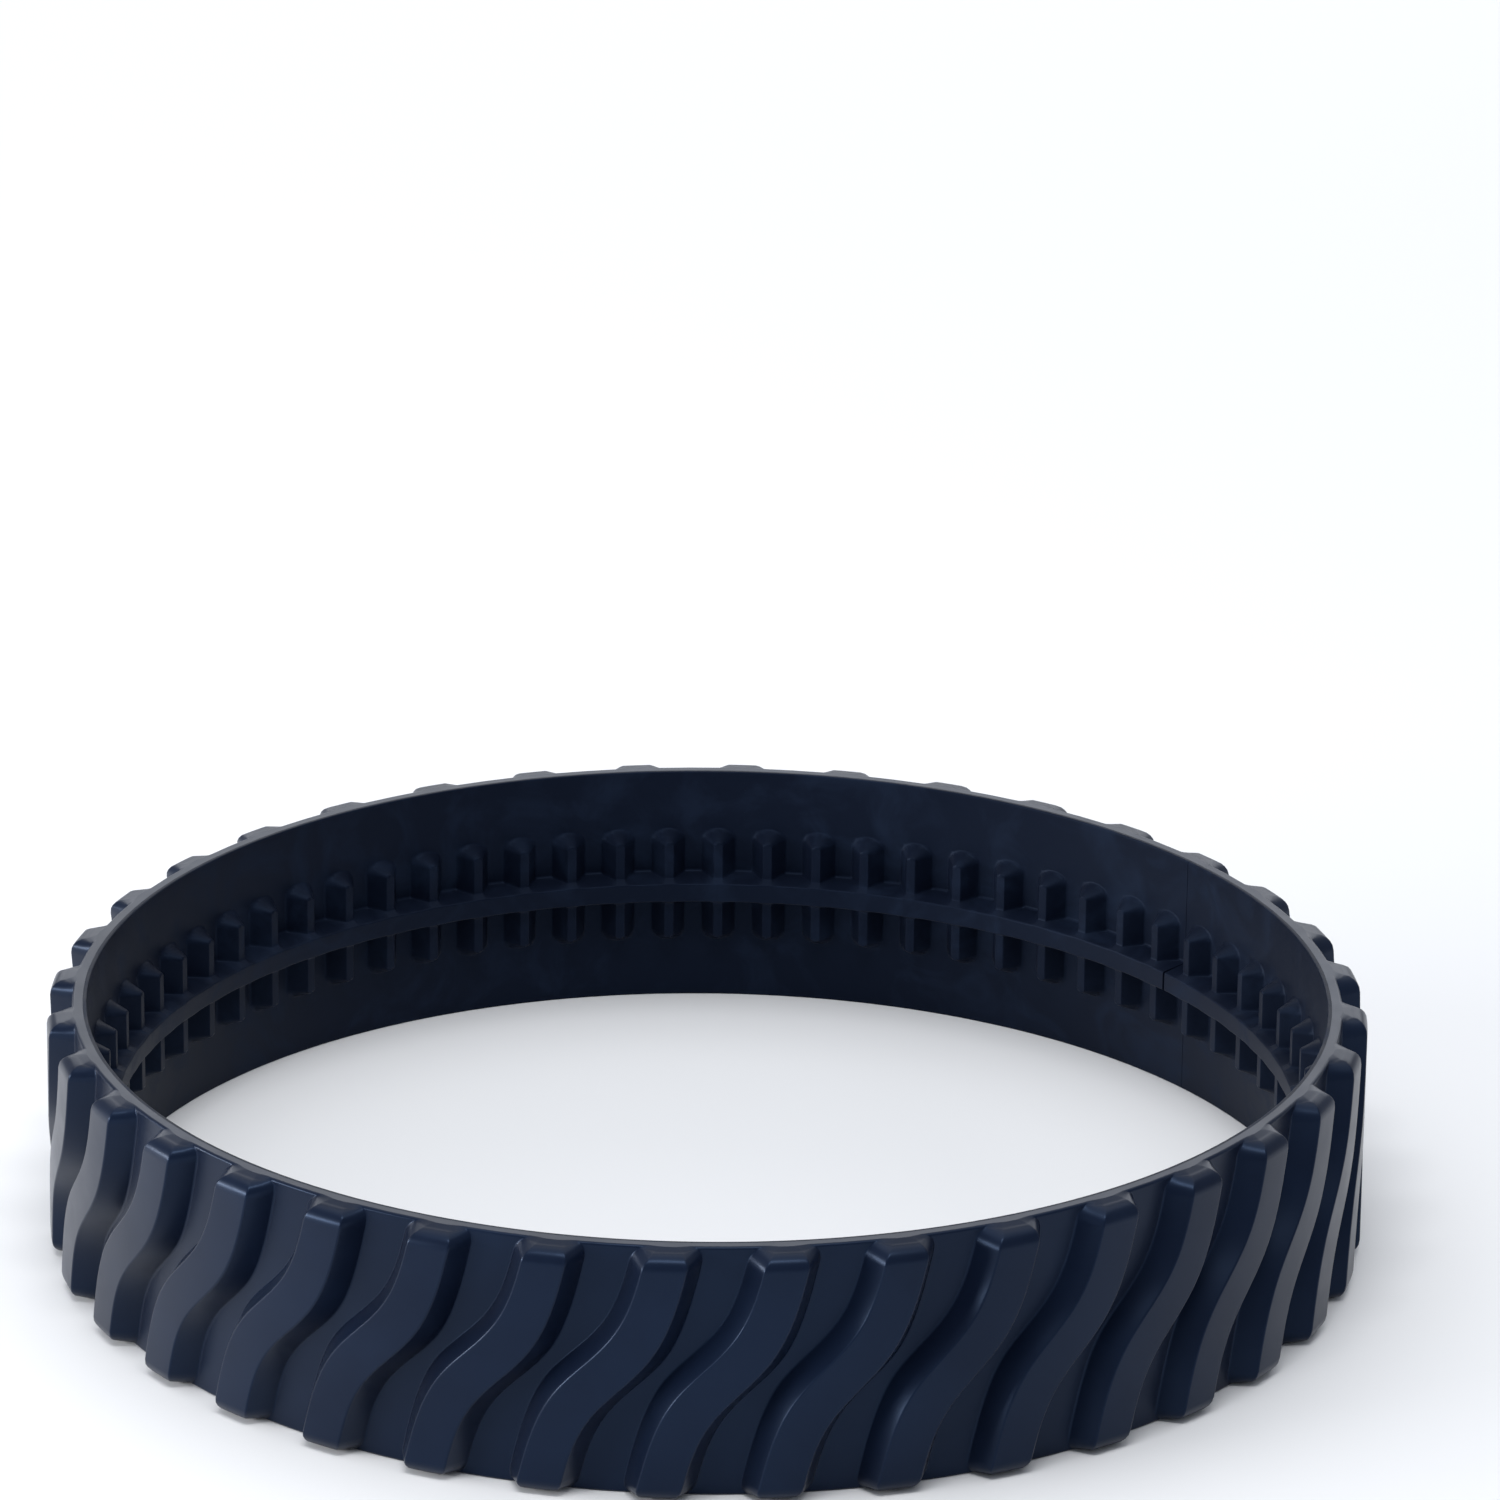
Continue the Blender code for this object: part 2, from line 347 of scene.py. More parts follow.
def tread_height(angle, z, sizes):
    """Height of the tread above the groove floor at an angle and a place across the track."""
    bar_angle = 2 * math.pi / sizes.bar_count
    shoulder, foot, mean = bar_flank(sizes)
    off_centre = np.abs(np.mod(angle - wave_shift(z, sizes), bar_angle) - bar_angle / 2)
    inset = inset_of(z)
    distance = off_centre * mean / wave_stretch(z, sizes) + quarter_round(inset, sizes.corner_round)
    raised = flank_profile(
        distance, shoulder, foot, sizes.bar_height, sizes.crest_radius, sizes.foot_radius,
    ) / sizes.bar_height
    end_height = sizes.bar_height - sizes.end_round
    end_face = end_height * inset / sizes.end_run
    rolled = sizes.bar_height - quarter_round(inset - sizes.end_run, sizes.end_round)
    crown = np.where(inset < sizes.end_run, end_face, rolled)
    return raised * crown - (1 - raised) * quarter_round(inset, sizes.edge_round)


def lining_height(angle, z, sizes):
    """Height of the rib and the teeth above the running face, towards the axis."""
    across = np.abs(z - HALF_WIDTH)
    rib = flank_profile(
        across, sizes.rib_crest / 2, sizes.rib_root / 2, sizes.rib_height,
        sizes.rib_edge, sizes.rib_fillet,
    )
    tooth_angle = 2 * math.pi / sizes.tooth_count
    along = np.abs(np.mod(angle, tooth_angle) - tooth_angle / 2) * LINING_FACE
    past = np.maximum(across - straight_reach(sizes), 0) * TOOTH_END_ROUNDNESS
    tooth = flank_profile(
        np.hypot(along, past), sizes.tooth_crest / 2, sizes.tooth_foot / 2,
        sizes.tooth_height, sizes.tooth_edge, sizes.tooth_fillet,
    )
    return rib + tooth * (1 - rib / sizes.rib_height) - quarter_round(inset_of(z), sizes.edge_round)


def straight_reach(sizes):
    """Distance from the middle at which a tooth's straight flanks end."""
    return sizes.tooth_reach - sizes.tooth_foot / 2 / TOOTH_END_ROUNDNESS


def mirrored(half):
    """Stations from one side edge to the middle, repeated to the other edge."""
    return half + [TRACK_WIDTH - z for z in reversed(half[:-1])]


def tread_stations(sizes):
    """Places across the track where the tread's grid has a row."""
    face = [sizes.end_run * part for part in (0, 0.15, 0.4, 0.7)]
    turns = [math.radians(turn) for turn in (0, 20, 40, 55, 70, 90)]
    roll = [sizes.end_run + sizes.end_round * (1 - math.cos(turn)) for turn in turns]
    return mirrored(face + roll + evenly(roll[-1], HALF_WIDTH, WAVE_STEPS))


def tread_columns(sizes):
    """Columns of the tread's grid, which follow the waves.

    Each is the angle of a bar's middle and a distance beside it, at the mean radius.
    """
    shoulder, foot, mean = bar_flank(sizes)
    slope = math.atan2(sizes.bar_height, foot - shoulder)
    crest = arc_stations(shoulder, sizes.crest_radius, slope, True, ARC_STEPS)
    fillet = arc_stations(foot, sizes.foot_radius, slope, False, ARC_STEPS)
    half = [crest[0] * 0.5, *crest, (crest[-1] + fillet[0]) / 2, *fillet]
    offsets = [-offset for offset in reversed(half)] + [0.0] + half
    bar_angle = 2 * math.pi / sizes.bar_count
    bars = round(LINK_ANGLE / bar_angle) + 2
    columns = [(-bars / 2 * bar_angle, 0.0)]
    for bar in range(bars):
        centre = (bar + 0.5 - bars / 2) * bar_angle
        columns += [(centre, offset) for offset in offsets]
        columns.append((centre + bar_angle / 2, 0.0))
    return np.array(columns)


def lining_stations(sizes):
    """Places across the track where the lining's grid has a row."""
    rib_slope = math.atan2(sizes.rib_height, (sizes.rib_root - sizes.rib_crest) / 2)
    tooth_slope = math.atan2(sizes.tooth_height, (sizes.tooth_foot - sizes.tooth_crest) / 2)
    reach = straight_reach(sizes)
    across = [0.0, sizes.rib_crest / 4]
    across += arc_stations(sizes.rib_crest / 2, sizes.rib_edge, rib_slope, True, ARC_STEPS)
    across += arc_stations(sizes.rib_root / 2, sizes.rib_fillet, rib_slope, False, ARC_STEPS)
    across += evenly(across[-1], reach, RIB_TO_TEETH_STEPS)
    crest = arc_stations(sizes.tooth_crest / 2, sizes.tooth_edge, tooth_slope, True, ARC_STEPS)
    fillet = arc_stations(sizes.tooth_foot / 2, sizes.tooth_fillet, tooth_slope, False, SHORT_ARC_STEPS)
    middle = [crest[-1] + (fillet[0] - crest[-1]) * part for part in (0.33, 0.67)]
    places = [crest[0] / 2, *crest, *middle, *fillet]
    across += [reach + past / TOOTH_END_ROUNDNESS for past in places]
    across += evenly(across[-1], HALF_WIDTH - sizes.edge_round, TEETH_TO_EDGE_STEPS)
    across += [HALF_WIDTH - sizes.edge_round * part for part in (0.62, 0.3, 0.1, 0)]
    return mirrored([HALF_WIDTH - place for place in reversed(across)])


def lining_columns(sizes):
    """Angles of the lining's grid, which stand square to the side edges."""
    slope = math.atan2(sizes.tooth_height, (sizes.tooth_foot - sizes.tooth_crest) / 2)
    crest = arc_stations(sizes.tooth_crest / 2, sizes.tooth_edge, slope, True, SHORT_ARC_STEPS)
    fillet = arc_stations(sizes.tooth_foot / 2, sizes.tooth_fillet, slope, False, SHORT_ARC_STEPS)
    middle = [crest[-1] + (fillet[0] - crest[-1]) * part for part in (0.33, 0.67)]
    half = [*crest, *middle, *fillet]
    offsets = [-offset for offset in reversed(half)] + [0.0] + half
    tooth_angle = 2 * math.pi / sizes.tooth_count
    teeth = round(LINK_ANGLE / tooth_angle)
    angles = [-LINK_ANGLE / 2]
    for tooth in range(teeth):
        centre = (tooth + 0.5 - teeth / 2) * tooth_angle
        angles += [centre + offset / LINING_FACE for offset in offsets]
        angles.append(centre + tooth_angle / 2)
    return np.array(angles)


def closed_strip(rows, kinds):
    """A tube of faces through rows of points, each strip of faces marked with its kind."""
    shape = bmesh.new()
    mark = shape.faces.layers.int.new("kind")
    corners = [[shape.verts.new(point) for point in row] for row in rows]
    for strip, kind in enumerate(kinds):
        low, high = corners[strip], corners[(strip + 1) % len(corners)]
        for step in range(len(low) - 1):
            face = shape.faces.new((low[step], high[step], high[step + 1], low[step + 1]))
            face[mark] = kind
    return shape


def cut_to(shape, start, end, relief=0.0):
    """Cut the strip square across at two angles and close both ends.

    An end at the hinge leans back by the relief, from the top of the cords inwards.
    """
    for angle, side in ((start, -1), (end, 1)):
        lean = relief if angle == 0 else 0.0
        outward = Vector((math.cos(angle), math.sin(angle), 0))
        onward = Vector((-math.sin(angle), math.cos(angle), 0))
        bmesh.ops.bisect_plane(
            shape,
            geom=shape.verts[:] + shape.edges[:] + shape.faces[:],
            dist=WELD_DISTANCE,
            plane_co=outward * (PITCH_RADIUS + PLY_THICKNESS / 2),
            plane_no=onward * side * math.cos(lean) - outward * math.sin(lean),
            clear_outer=True,
        )
    rim = [edge for edge in shape.edges if edge.is_boundary]
    ends = bmesh.ops.holes_fill(shape, edges=rim, sides=0)["faces"]
    mark = shape.faces.layers.int["kind"]
    for face in ends:
        face[mark] = FLAT
    bmesh.ops.dissolve_degenerate(shape, dist=WELD_DISTANCE, edges=shape.edges[:])
    bmesh.ops.recalc_face_normals(shape, faces=shape.faces[:])


def moulded_normals(points, height_at, side):
    """Normals of a surface that stands height_at off a cylinder, outwards for side 1."""
    angle = np.arctan2(points[:, 1], points[:, 0])
    radius = np.hypot(points[:, 0], points[:, 1])
    z = points[:, 2]
    ahead = height_at(angle + SLOPE_STEP / radius, z)
    behind = height_at(angle - SLOPE_STEP / radius, z)
    above = np.minimum(z + SLOPE_STEP, TRACK_WIDTH)
    below = np.maximum(z - SLOPE_STEP, 0)
    round_slope = (ahead - behind) / (2 * SLOPE_STEP)
    across_slope = (height_at(angle, above) - height_at(angle, below)) / (above - below)
    normal = np.stack([
        side * np.cos(angle) + round_slope * np.sin(angle),
        side * np.sin(angle) - round_slope * np.cos(angle),
        -across_slope,
    ], -1)
    return normal / np.linalg.norm(normal, axis=1)[:, None]


def set_corner_normals(mesh, height_at, side):
    """Shade the moulded faces by their formula, the back as a cylinder and the rest flat.

    Neighbouring pieces then meet without a seam in their shading.
    """
    points = np.empty(len(mesh.vertices) * 3)
    mesh.vertices.foreach_get("co", points)
    points = points.reshape(-1, 3)
    kinds = np.empty(len(mesh.polygons), int)
    mesh.attributes["kind"].data.foreach_get("value", kinds)
    corner_count = np.empty(len(mesh.polygons), int)
    mesh.polygons.foreach_get("loop_total", corner_count)
    flat = np.empty(len(mesh.polygons) * 3)
    mesh.polygons.foreach_get("normal", flat)
    corner_vertex = np.empty(len(mesh.loops), int)
    mesh.loops.foreach_get("vertex_index", corner_vertex)

    corner_kind = np.repeat(kinds, corner_count)[:, None]
    normals = np.repeat(flat.reshape(-1, 3), corner_count, axis=0)
    moulded = moulded_normals(points, height_at, side)[corner_vertex]
    outward = points * (1, 1, 0)
    outward /= np.linalg.norm(outward, axis=1)[:, None]
    normals = np.where(corner_kind == MOULDED, moulded, normals)
    normals = np.where(corner_kind == BACK, -side * outward[corner_vertex], normals)
    mesh.shade_smooth()
    mesh.normals_split_custom_set(normals.tolist())
    mesh.attributes.remove(mesh.attributes["kind"])


def tread_mesh(sizes, start, end):
    """Tread rubber between two angles either side of a hinge that lies at angle zero."""
    across = np.array(tread_stations(sizes))
    columns = tread_columns(sizes)
    floor = TREAD_TOP - sizes.bar_height
    shoulder, _, mean = bar_flank(sizes)

    def angles_at(z):
        narrower = quarter_round(inset_of(z), sizes.corner_round)
        beside = columns[:, 1] - narrower * np.clip(columns[:, 1] / shoulder, -1, 1)
        return columns[:, 0] + wave_shift(z, sizes) + beside * wave_stretch(z, sizes) / mean

    rows = []
    for z in across:
        angles = angles_at(z)
        rows.append(polar(floor + tread_height(angles, z, sizes), angles, z))
    kinds = [MOULDED] * (len(rows) - 1) + [FLAT]
    inner_edge = TRACK_WIDTH - EDGE_LIP
    back = [(TRACK_WIDTH, LIP_MEETS), (inner_edge, LIP_MEETS), (inner_edge, TREAD_INNER)]
    back += [(z, TREAD_INNER) for z in evenly(inner_edge, EDGE_LIP, BACK_STEPS)]
    back += [(EDGE_LIP, LIP_MEETS), (0.0, LIP_MEETS)]
    for z, radius in back:
        rows.append(polar(radius, angles_at(z), z))
    kinds += [BACK, FLAT] + [BACK] * BACK_STEPS + [FLAT, BACK, FLAT]
    shape = closed_strip(rows, kinds)
    cut_to(shape, start, end)
    mesh = bpy.data.meshes.new("tread_span")
    shape.to_mesh(mesh)
    shape.free()
    set_corner_normals(mesh, lambda angle, z: tread_height(angle, z, sizes), 1)
    return mesh


def lining_mesh(sizes, start, end):
    """Inner rubber between two angles either side of a hinge that lies at angle zero."""
    angles = lining_columns(sizes)
    rows = []
    for z in lining_stations(sizes):
        rows.append(polar(LINING_FACE - lining_height(angles, z, sizes), angles, z))
    kinds = [MOULDED] * (len(rows) - 1) + [FLAT, BACK, FLAT]
    rows += [polar(LINING_OUTER, angles, TRACK_WIDTH), polar(LINING_OUTER, angles, 0.0)]
    shape = closed_strip(rows, kinds)
    cut_to(shape, start, end, OPEN_PIVOT_BEND / 2)
    mesh = bpy.data.meshes.new("lining_span")
    shape.to_mesh(mesh)
    shape.free()
    set_corner_normals(mesh, lambda angle, z: lining_height(angle, z, sizes), -1)
    return mesh


def cord_mesh(sizes, start, end):
    """Cords side by side in their film, between two angles either side of a hinge."""
    margin = EDGE_LIP + PLY_CLEARANCE
    room = TRACK_WIDTH - 2 * margin
    count = int(room / sizes.cord_spacing)
    first = HALF_WIDTH - (count - 1) / 2 * sizes.cord_spacing
    cord_radius = PLY_THICKNESS / 2
    film = sizes.film / 2
    profile = [(margin, film)]
    for cord in range(count):
        middle = first + cord * sizes.cord_spacing
        for turn in CORD_TURNS:
            lean = math.radians(turn)
            edge = max(film, cord_radius * math.cos(lean))
            profile.append((middle + cord_radius * math.sin(lean), edge))
    profile.append((TRACK_WIDTH - margin, film))
    angles = np.linspace(-LINK_ANGLE / 2, LINK_ANGLE / 2, CORD_STEPS + 1)
    rows = [polar(PITCH_RADIUS + height, angles, z) for z, height in profile]
    rows += [polar(PITCH_RADIUS - height, angles, z) for z, height in reversed(profile)]
    shape = closed_strip(rows, [FLAT] * len(rows))
    cut_to(shape, start, end, OPEN_PIVOT_BEND / 2)
    mesh = bpy.data.meshes.new("cord_span")
    shape.to_mesh(mesh)
    shape.free()
    mesh.attributes.remove(mesh.attributes["kind"])
    mesh.shade_smooth()
    mesh.set_sharp_from_angle(angle=math.radians(50))
    return mesh


def add_piece(name, mesh, turn, finish):
    """An object with its own copy of a mesh, turned to its place round the loop."""
    placed = mesh.copy()
    placed.name = name
    placed.transform(Matrix.Rotation(turn, 4, "Z"))
    place = placed.attributes.new("rest_place", "FLOAT_VECTOR", "POINT")
    points = np.empty(len(placed.vertices) * 3, np.float32)
    placed.vertices.foreach_get("co", points)
    place.data.foreach_set("vector", points)
    placed.materials.append(finish)
    piece = bpy.data.objects.new(name, placed)
    bpy.context.scene.collection.objects.link(piece)
    return piece


def add_spans(name, node, make_mesh, sizes, finish):
    """One piece across each hinge, and two halves where the loop's last pivot is open.

    Each piece curves round from the middle of one link to the middle of the next, and
    stands for the CAD node of the first.
    """
    half = LINK_ANGLE / 2
    whole = make_mesh(sizes, -half, half)
    for number, low in enumerate(LINKS, start=1):
        high = LINKS[number % len(LINKS)]
        hinge = FRONT_ANGLE + (number - 0.5) * LINK_ANGLE
        if frozenset((low, high)) in JOINED:
            piece = add_piece(f"{name}_{number:02d}", whole, hinge, finish)
            ends = polar(PITCH_RADIUS, np.array([hinge - half, hinge + half]), 0.0)
            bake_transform(piece)
            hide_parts(f"{node}_{number:02d}")
        else:
            before = make_mesh(sizes, -half, 0.0)
            piece = add_piece(f"{name}_{number:02d}a", before, hinge, finish)
            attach(piece, low)
            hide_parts(f"{node}_{number:02d}")
            after = make_mesh(sizes, 0.0, half)
            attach(add_piece(f"{name}_{number:02d}b", after, hinge, finish), high)
            for spare in (before, after):
                bpy.data.meshes.remove(spare)
    bpy.data.meshes.remove(whole)


# ---------------------------------------------------------------- finishes


def add_node(tree, kind, settings=None, links=None):
    """Add a shader node, set its sockets and options, and link what feeds it."""
    node = tree.nodes.new(kind)
    for name, value in (settings or {}).items():
        if isinstance(name, int) or name in node.inputs:
            node.inputs[name].default_value = value
        else:
            setattr(node, name, value)
    for name, source in (links or {}).items():
        tree.links.new(source, node.inputs[name])
    return node


def new_finish(name):
    """An empty material, its tree and its output node."""
    finish = bpy.data.materials.new(name)
    finish.use_nodes = True
    tree = finish.node_tree
    tree.nodes.clear()
    return finish, tree, add_node(tree, "ShaderNodeOutputMaterial")


def per_metre(millimetres):
    """Scale of a noise whose features are about this size."""
    return 1 / (millimetres * MM)


def moulded_tread_rubber(colours):
    """Carbon-filled rubber, hot-moulded in a blasted steel mould.

    The eye gets a blue-black satin with soft grey reflections, a little drier here and
    there, and a very fine even grain.
    """
    finish, tree, output = new_finish("moulded_tread_rubber")
    place = add_node(tree, "ShaderNodeAttribute", {"attribute_name": "rest_place"})
    at = {"Vector": place.outputs["Vector"]}
    # Patches where the surface wax has dried, some 30 mm across
    patches = add_node(tree, "ShaderNodeTexNoise", {
        "Scale": per_metre(30), "Detail": 4.0, "Roughness": 0.55, "Distortion": 0.4}, at)
    shade = add_node(tree, "ShaderNodeMapRange", {
        "From Min": 0.38, "From Max": 0.66, "To Min": 0.0, "To Max": 1.0,
    }, {"Value": patches.outputs["Fac"]})
    tint = add_node(tree, "ShaderNodeMix", {
        "data_type": "RGBA", 6: colours.tread, 7: colours.tread_pale,
    }, {0: shade.outputs["Result"]})
    # Flow marks of the rubber in the mould, some 6 mm across
    flow = add_node(tree, "ShaderNodeTexNoise", {
        "Scale": per_metre(6), "Detail": 2.0, "Roughness": 0.5}, at)
    satin = add_node(tree, "ShaderNodeMapRange", {
        "From Min": 0.3, "From Max": 0.7, "To Min": 0.29, "To Max": 0.34,
    }, {"Value": flow.outputs["Fac"]})
    # Blasted mould grain is about 0.1 mm; it is drawn at 0.45 mm so that it shows
    grain = add_node(tree, "ShaderNodeTexNoise", {
        "Scale": per_metre(0.45), "Detail": 2.0, "Roughness": 0.5}, at)
    bump = add_node(tree, "ShaderNodeBump", {
        "Strength": 0.08, "Distance": 0.04 * MM}, {"Height": grain.outputs["Fac"]})
    shader = add_node(tree, "ShaderNodeBsdfPrincipled", {
        "IOR": RUBBER_IOR, "Metallic": 0.0, "Specular IOR Level": 0.4,
        "Specular Tint": linear_colour(RUBBER_SHEEN),
    }, {
        "Base Color": tint.outputs[2],
        "Roughness": satin.outputs["Result"],
        "Normal": bump.outputs["Normal"],
    })
    tree.links.new(shader.outputs["BSDF"], output.inputs["Surface"])
    return finish


def moulded_lining_rubber(colours):
    """The same rubber against a smoother mould core, with dried bloom on it.

    The eye gets a darker satin with faint cloudy smudges where wax and release agent
    have dried.
    """
    finish, tree, output = new_finish("moulded_lining_rubber")
    place = add_node(tree, "ShaderNodeAttribute", {"attribute_name": "rest_place"})
    at = {"Vector": place.outputs["Vector"]}
    # Smudges from 5 to 20 mm across
    smudges = add_node(tree, "ShaderNodeTexNoise", {
        "Scale": per_metre(14), "Detail": 5.0, "Roughness": 0.6, "Distortion": 1.2}, at)
    cover = add_node(tree, "ShaderNodeMapRange", {
        "From Min": 0.48, "From Max": 0.68, "To Min": 0.0, "To Max": 0.7,
    }, {"Value": smudges.outputs["Fac"]})
    tint = add_node(tree, "ShaderNodeMix", {
        "data_type": "RGBA", 6: colours.lining, 7: colours.bloom,
    }, {0: cover.outputs["Result"]})
    satin = add_node(tree, "ShaderNodeMapRange", {
        "From Min": 0.0, "From Max": 0.7, "To Min": 0.48, "To Max": 0.6,
    }, {"Value": cover.outputs["Result"]})
    # Polishing marks of the core are under 0.1 mm; they are drawn at 0.6 mm
    grain = add_node(tree, "ShaderNodeTexNoise", {
        "Scale": per_metre(0.6), "Detail": 2.0, "Roughness": 0.5}, at)
    bump = add_node(tree, "ShaderNodeBump", {
        "Strength": 0.1, "Distance": 0.04 * MM}, {"Height": grain.outputs["Fac"]})
    shader = add_node(tree, "ShaderNodeBsdfPrincipled", {
        "IOR": RUBBER_IOR, "Metallic": 0.0, "Specular IOR Level": 0.2,
        "Specular Tint": linear_colour(RUBBER_SHEEN),
    }, {
        "Base Color": tint.outputs[2],
        "Roughness": satin.outputs["Result"],
        "Normal": bump.outputs["Normal"],
    })
    tree.links.new(shader.outputs["BSDF"], output.inputs["Surface"])
    return finish


def twisted_polyester_cord(colours, sizes):
    """Undyed polyester, twisted from strands and laid side by side round the loop.

    The eye gets dull cream yarn with slanting strands.
    """
    finish, tree, output = new_finish("twisted_polyester_cord")
    place = add_node(tree, "ShaderNodeAttribute", {"attribute_name": "rest_place"})
    # The angle round the loop and the place across it make the strands slant
    axes = add_node(tree, "ShaderNodeSeparateXYZ", {}, {"Vector": place.outputs["Vector"]})
    angle = add_node(tree, "ShaderNodeMath", {"operation": "ARCTAN2"}, {
        0: axes.outputs["Y"], 1: axes.outputs["X"]})
    turns = round(2 * math.pi * PITCH_RADIUS / sizes.twist_length)
    slant = add_node(tree, "ShaderNodeMath", {
        "operation": "MULTIPLY", 1: 2 * math.pi / sizes.cord_spacing,
    }, {0: axes.outputs["Z"]})
    twist = add_node(tree, "ShaderNodeMath", {
        "operation": "MULTIPLY_ADD", 1: float(turns),
    }, {0: angle.outputs["Value"], 2: slant.outputs["Value"]})
    strand = add_node(tree, "ShaderNodeMath", {"operation": "SINE"}, {0: twist.outputs["Value"]})
    level = add_node(tree, "ShaderNodeMapRange", {
        "From Min": -1.0, "From Max": 1.0}, {"Value": strand.outputs["Value"]})
    tint = add_node(tree, "ShaderNodeMix", {
        "data_type": "RGBA", 6: colours.cord_shadow, 7: colours.cord,
    }, {0: level.outputs["Result"]})
    bump = add_node(tree, "ShaderNodeBump", {
        "Strength": 0.6, "Distance": 0.1 * MM}, {"Height": level.outputs["Result"]})
    shader = add_node(tree, "ShaderNodeBsdfPrincipled", {
        "IOR": 1.55, "Roughness": 0.8, "Sheen Weight": 0.2,
    }, {"Base Color": tint.outputs[2], "Normal": bump.outputs["Normal"]})
    tree.links.new(shader.outputs["BSDF"], output.inputs["Surface"])
    return finish


def paper_sweep(stage):
    """Uncoated studio paper, rolled out flat, which shows as an even pale matt."""
    finish, tree, output = new_finish("paper_sweep")
    shader = add_node(tree, "ShaderNodeBsdfPrincipled", {
        "Base Color": stage.floor, "Roughness": 0.9, "IOR": 1.45})
    tree.links.new(shader.outputs["BSDF"], output.inputs["Surface"])
    return finish


# ---------------------------------------------------------------- stage


def add_softbox(name, centre, aim, width, depth, watts):
    """A square or oblong soft light that faces a point."""
    light = bpy.data.lights.new(name, "AREA")
    light.shape = "RECTANGLE"
    light.size = width
    light.size_y = depth
    light.energy = watts
    lamp = bpy.data.objects.new(name, light)
    lamp.location = centre
    lamp.rotation_euler = (Vector(aim) - Vector(centre)).to_track_quat("-Z", "Y").to_euler()
    bpy.context.scene.collection.objects.link(lamp)


def add_camera(stage):
    """A long lens that looks down on the track from the front."""
    right = Vector((1, 0, 0))
    up = Vector((0, math.sin(CAMERA_PITCH), math.cos(CAMERA_PITCH)))
    ahead = Vector((0, math.cos(CAMERA_PITCH), -math.sin(CAMERA_PITCH)))
    right, up = (
        right * math.cos(CAMERA_ROLL) + up * math.sin(CAMERA_ROLL),
        up * math.cos(CAMERA_ROLL) - right * math.sin(CAMERA_ROLL),
    )
    place = -(right * CAMERA_SEES.x + up * CAMERA_SEES.y + ahead * CAMERA_SEES.z)
    axes = Matrix((right, up, -ahead)).transposed().to_4x4()
    camera_data = bpy.data.cameras.new("camera")
    camera_data.lens = stage.lens
    camera_data.sensor_width = 36.0
    camera_data.clip_start = 0.05
    camera_data.clip_end = 50.0
    camera = bpy.data.objects.new("camera", camera_data)
    turn = Matrix.Rotation(CAMERA_ROUND, 4, "Z")
    camera.matrix_world = turn @ Matrix.Translation(place) @ axes
    bpy.context.scene.collection.objects.link(camera)
    bpy.context.scene.camera = camera


# ---------------------------------------------------------------- operators


class TRACK_OT_tread(Operator):
    """Mould the outer rubber with its wave bars"""

    bl_idname = "track.tread"
    bl_label = "Tread"

    def execute(self, context):
        scene = context.scene
        finish = moulded_tread_rubber(scene.track_colours)
        add_spans("tread_span", "tread", tread_mesh, scene.track_tread, finish)
        return {"FINISHED"}


class TRACK_OT_lining(Operator):
    """Mould the inner rubber with its guide rib and drive teeth"""

    bl_idname = "track.lining"
    bl_label = "Lining"

    def execute(self, context):
        scene = context.scene
        finish = moulded_lining_rubber(scene.track_colours)
        add_spans("lining_span", "lining", lining_mesh, scene.track_lining, finish)
        return {"FINISHED"}


class TRACK_OT_cords(Operator):
    """Lay the tension cords between the two rubbers"""

    bl_idname = "track.cords"
    bl_label = "Tension cords"

    def execute(self, context):
        scene = context.scene
        finish = twisted_polyester_cord(scene.track_colours, scene.track_cords)
        add_spans("cord_span", "cord_ply", cord_mesh, scene.track_cords, finish)
        return {"FINISHED"}


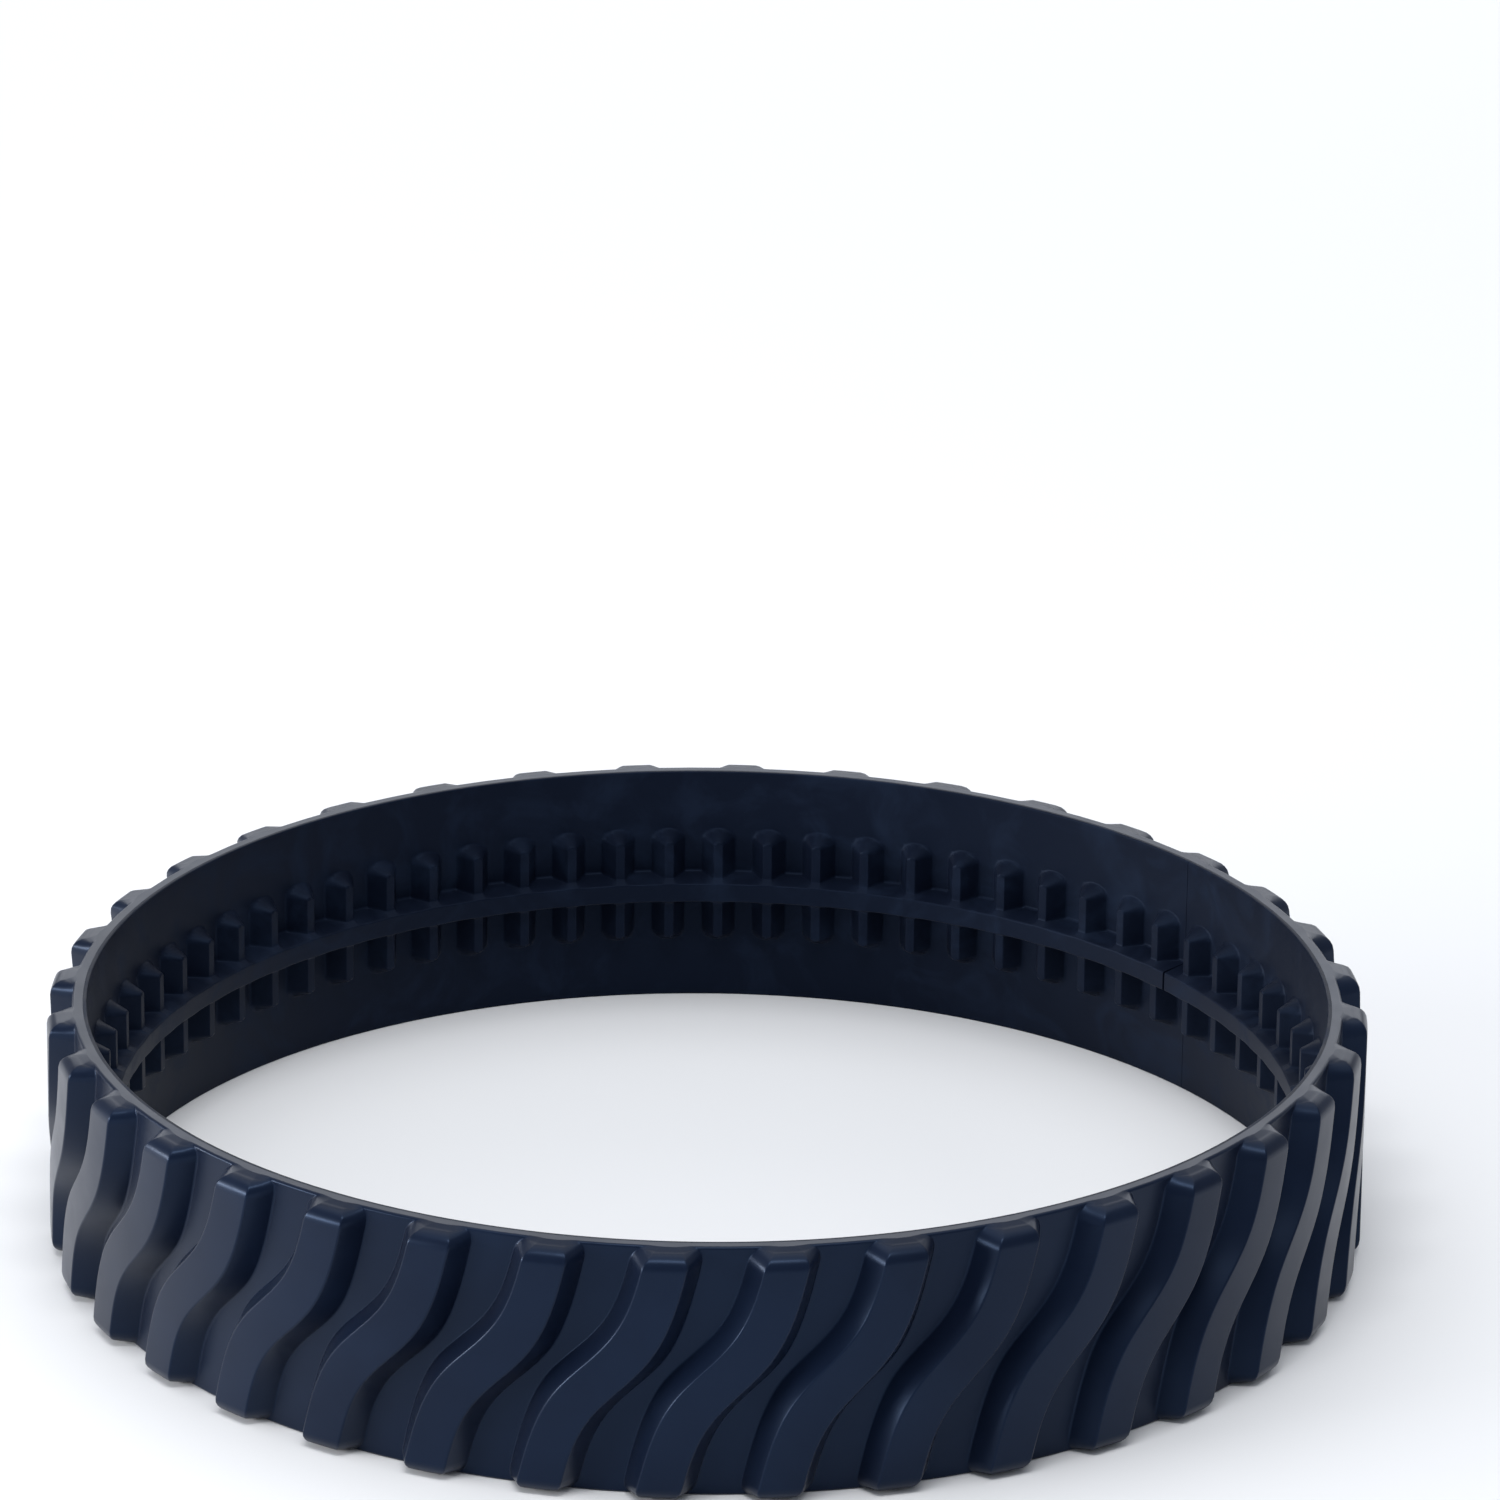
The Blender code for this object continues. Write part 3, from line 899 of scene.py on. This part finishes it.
class TRACK_OT_stage(Operator):
    """Set up the floor, the lights and the camera"""

    bl_idname = "track.stage"
    bl_label = "Stage"

    def execute(self, context):
        scene = context.scene
        stage = scene.track_stage
        scene.view_settings.view_transform = "Standard"
        signs = ((-1, -1), (1, -1), (1, 1), (-1, 1))
        corners = [(x * FLOOR_HALF, y * FLOOR_HALF, 0) for x, y in signs]
        floor_mesh = bpy.data.meshes.new("floor")
        floor_mesh.from_pydata(corners, [], [(0, 1, 2, 3)])
        floor_mesh.materials.append(paper_sweep(stage))
        floor = bpy.data.objects.new("floor", floor_mesh)
        scene.collection.objects.link(floor)

        world = bpy.data.worlds.new("room")
        world.use_nodes = True
        background = world.node_tree.nodes["Background"]
        background.inputs["Color"].default_value = stage.surroundings
        background.inputs["Strength"].default_value = stage.room_light
        scene.world = world

        # Where each softbox stands and what it faces, then its width and its depth, in metres
        middle = (0, 0, HALF_WIDTH)
        add_softbox("overhead_light", (0, 0.1, 1.6), (0, 0.1, 0), 2.2, 2.2, stage.overhead_light)
        add_softbox("front_light", (0, -0.5, 1.2), middle, 0.7, 0.16, stage.front_light)
        add_softbox("back_light", (0, 1.3, 0.5), middle, 1.6, 0.5, stage.back_light)
        add_softbox("side_light", (-1.0, -0.27, 0.25), middle, 0.9, 0.12, stage.side_light)
        add_camera(stage)
        return {"FINISHED"}


class TRACK_PT_sidebar(Panel):
    """Builds the track and holds its sizes and colours"""

    bl_idname = "TRACK_PT_sidebar"
    bl_label = "Rubber drive track"
    bl_space_type = "VIEW_3D"
    bl_region_type = "UI"
    bl_category = "Track"

    def draw(self, context):
        for group, operator in STEPS:
            box = self.layout.box()
            if operator:
                box.operator(operator)
            settings = getattr(context.scene, group)
            for name in settings.bl_rna.properties.keys():
                if name not in ("rna_type", "name"):
                    box.prop(settings, name)


STEPS = (
    ("track_colours", None),
    ("track_tread", "track.tread"),
    ("track_lining", "track.lining"),
    ("track_cords", "track.cords"),
    ("track_stage", "track.stage"),
)
GROUPS = {
    "track_tread": TreadSizes,
    "track_lining": LiningSizes,
    "track_cords": CordSizes,
    "track_colours": TrackColours,
    "track_stage": StageSettings,
}
CLASSES = (
    *GROUPS.values(),
    TRACK_OT_tread, TRACK_OT_lining, TRACK_OT_cords, TRACK_OT_stage,
    TRACK_PT_sidebar,
)


def register():
    """Register the classes and give every scene its sizes and colours."""
    for cls in CLASSES:
        bpy.utils.register_class(cls)
    for name, group in GROUPS.items():
        setattr(bpy.types.Scene, name, PointerProperty(type=group))


def unregister():
    """Take the settings and the classes away again."""
    for name in GROUPS:
        delattr(bpy.types.Scene, name)
    for cls in reversed(CLASSES):
        bpy.utils.unregister_class(cls)


def main():
    """Build every piece and the stage."""
    register()
    bpy.ops.track.tread()
    bpy.ops.track.lining()
    bpy.ops.track.cords()
    bpy.ops.track.stage()


if __name__ == "__main__":
    main()
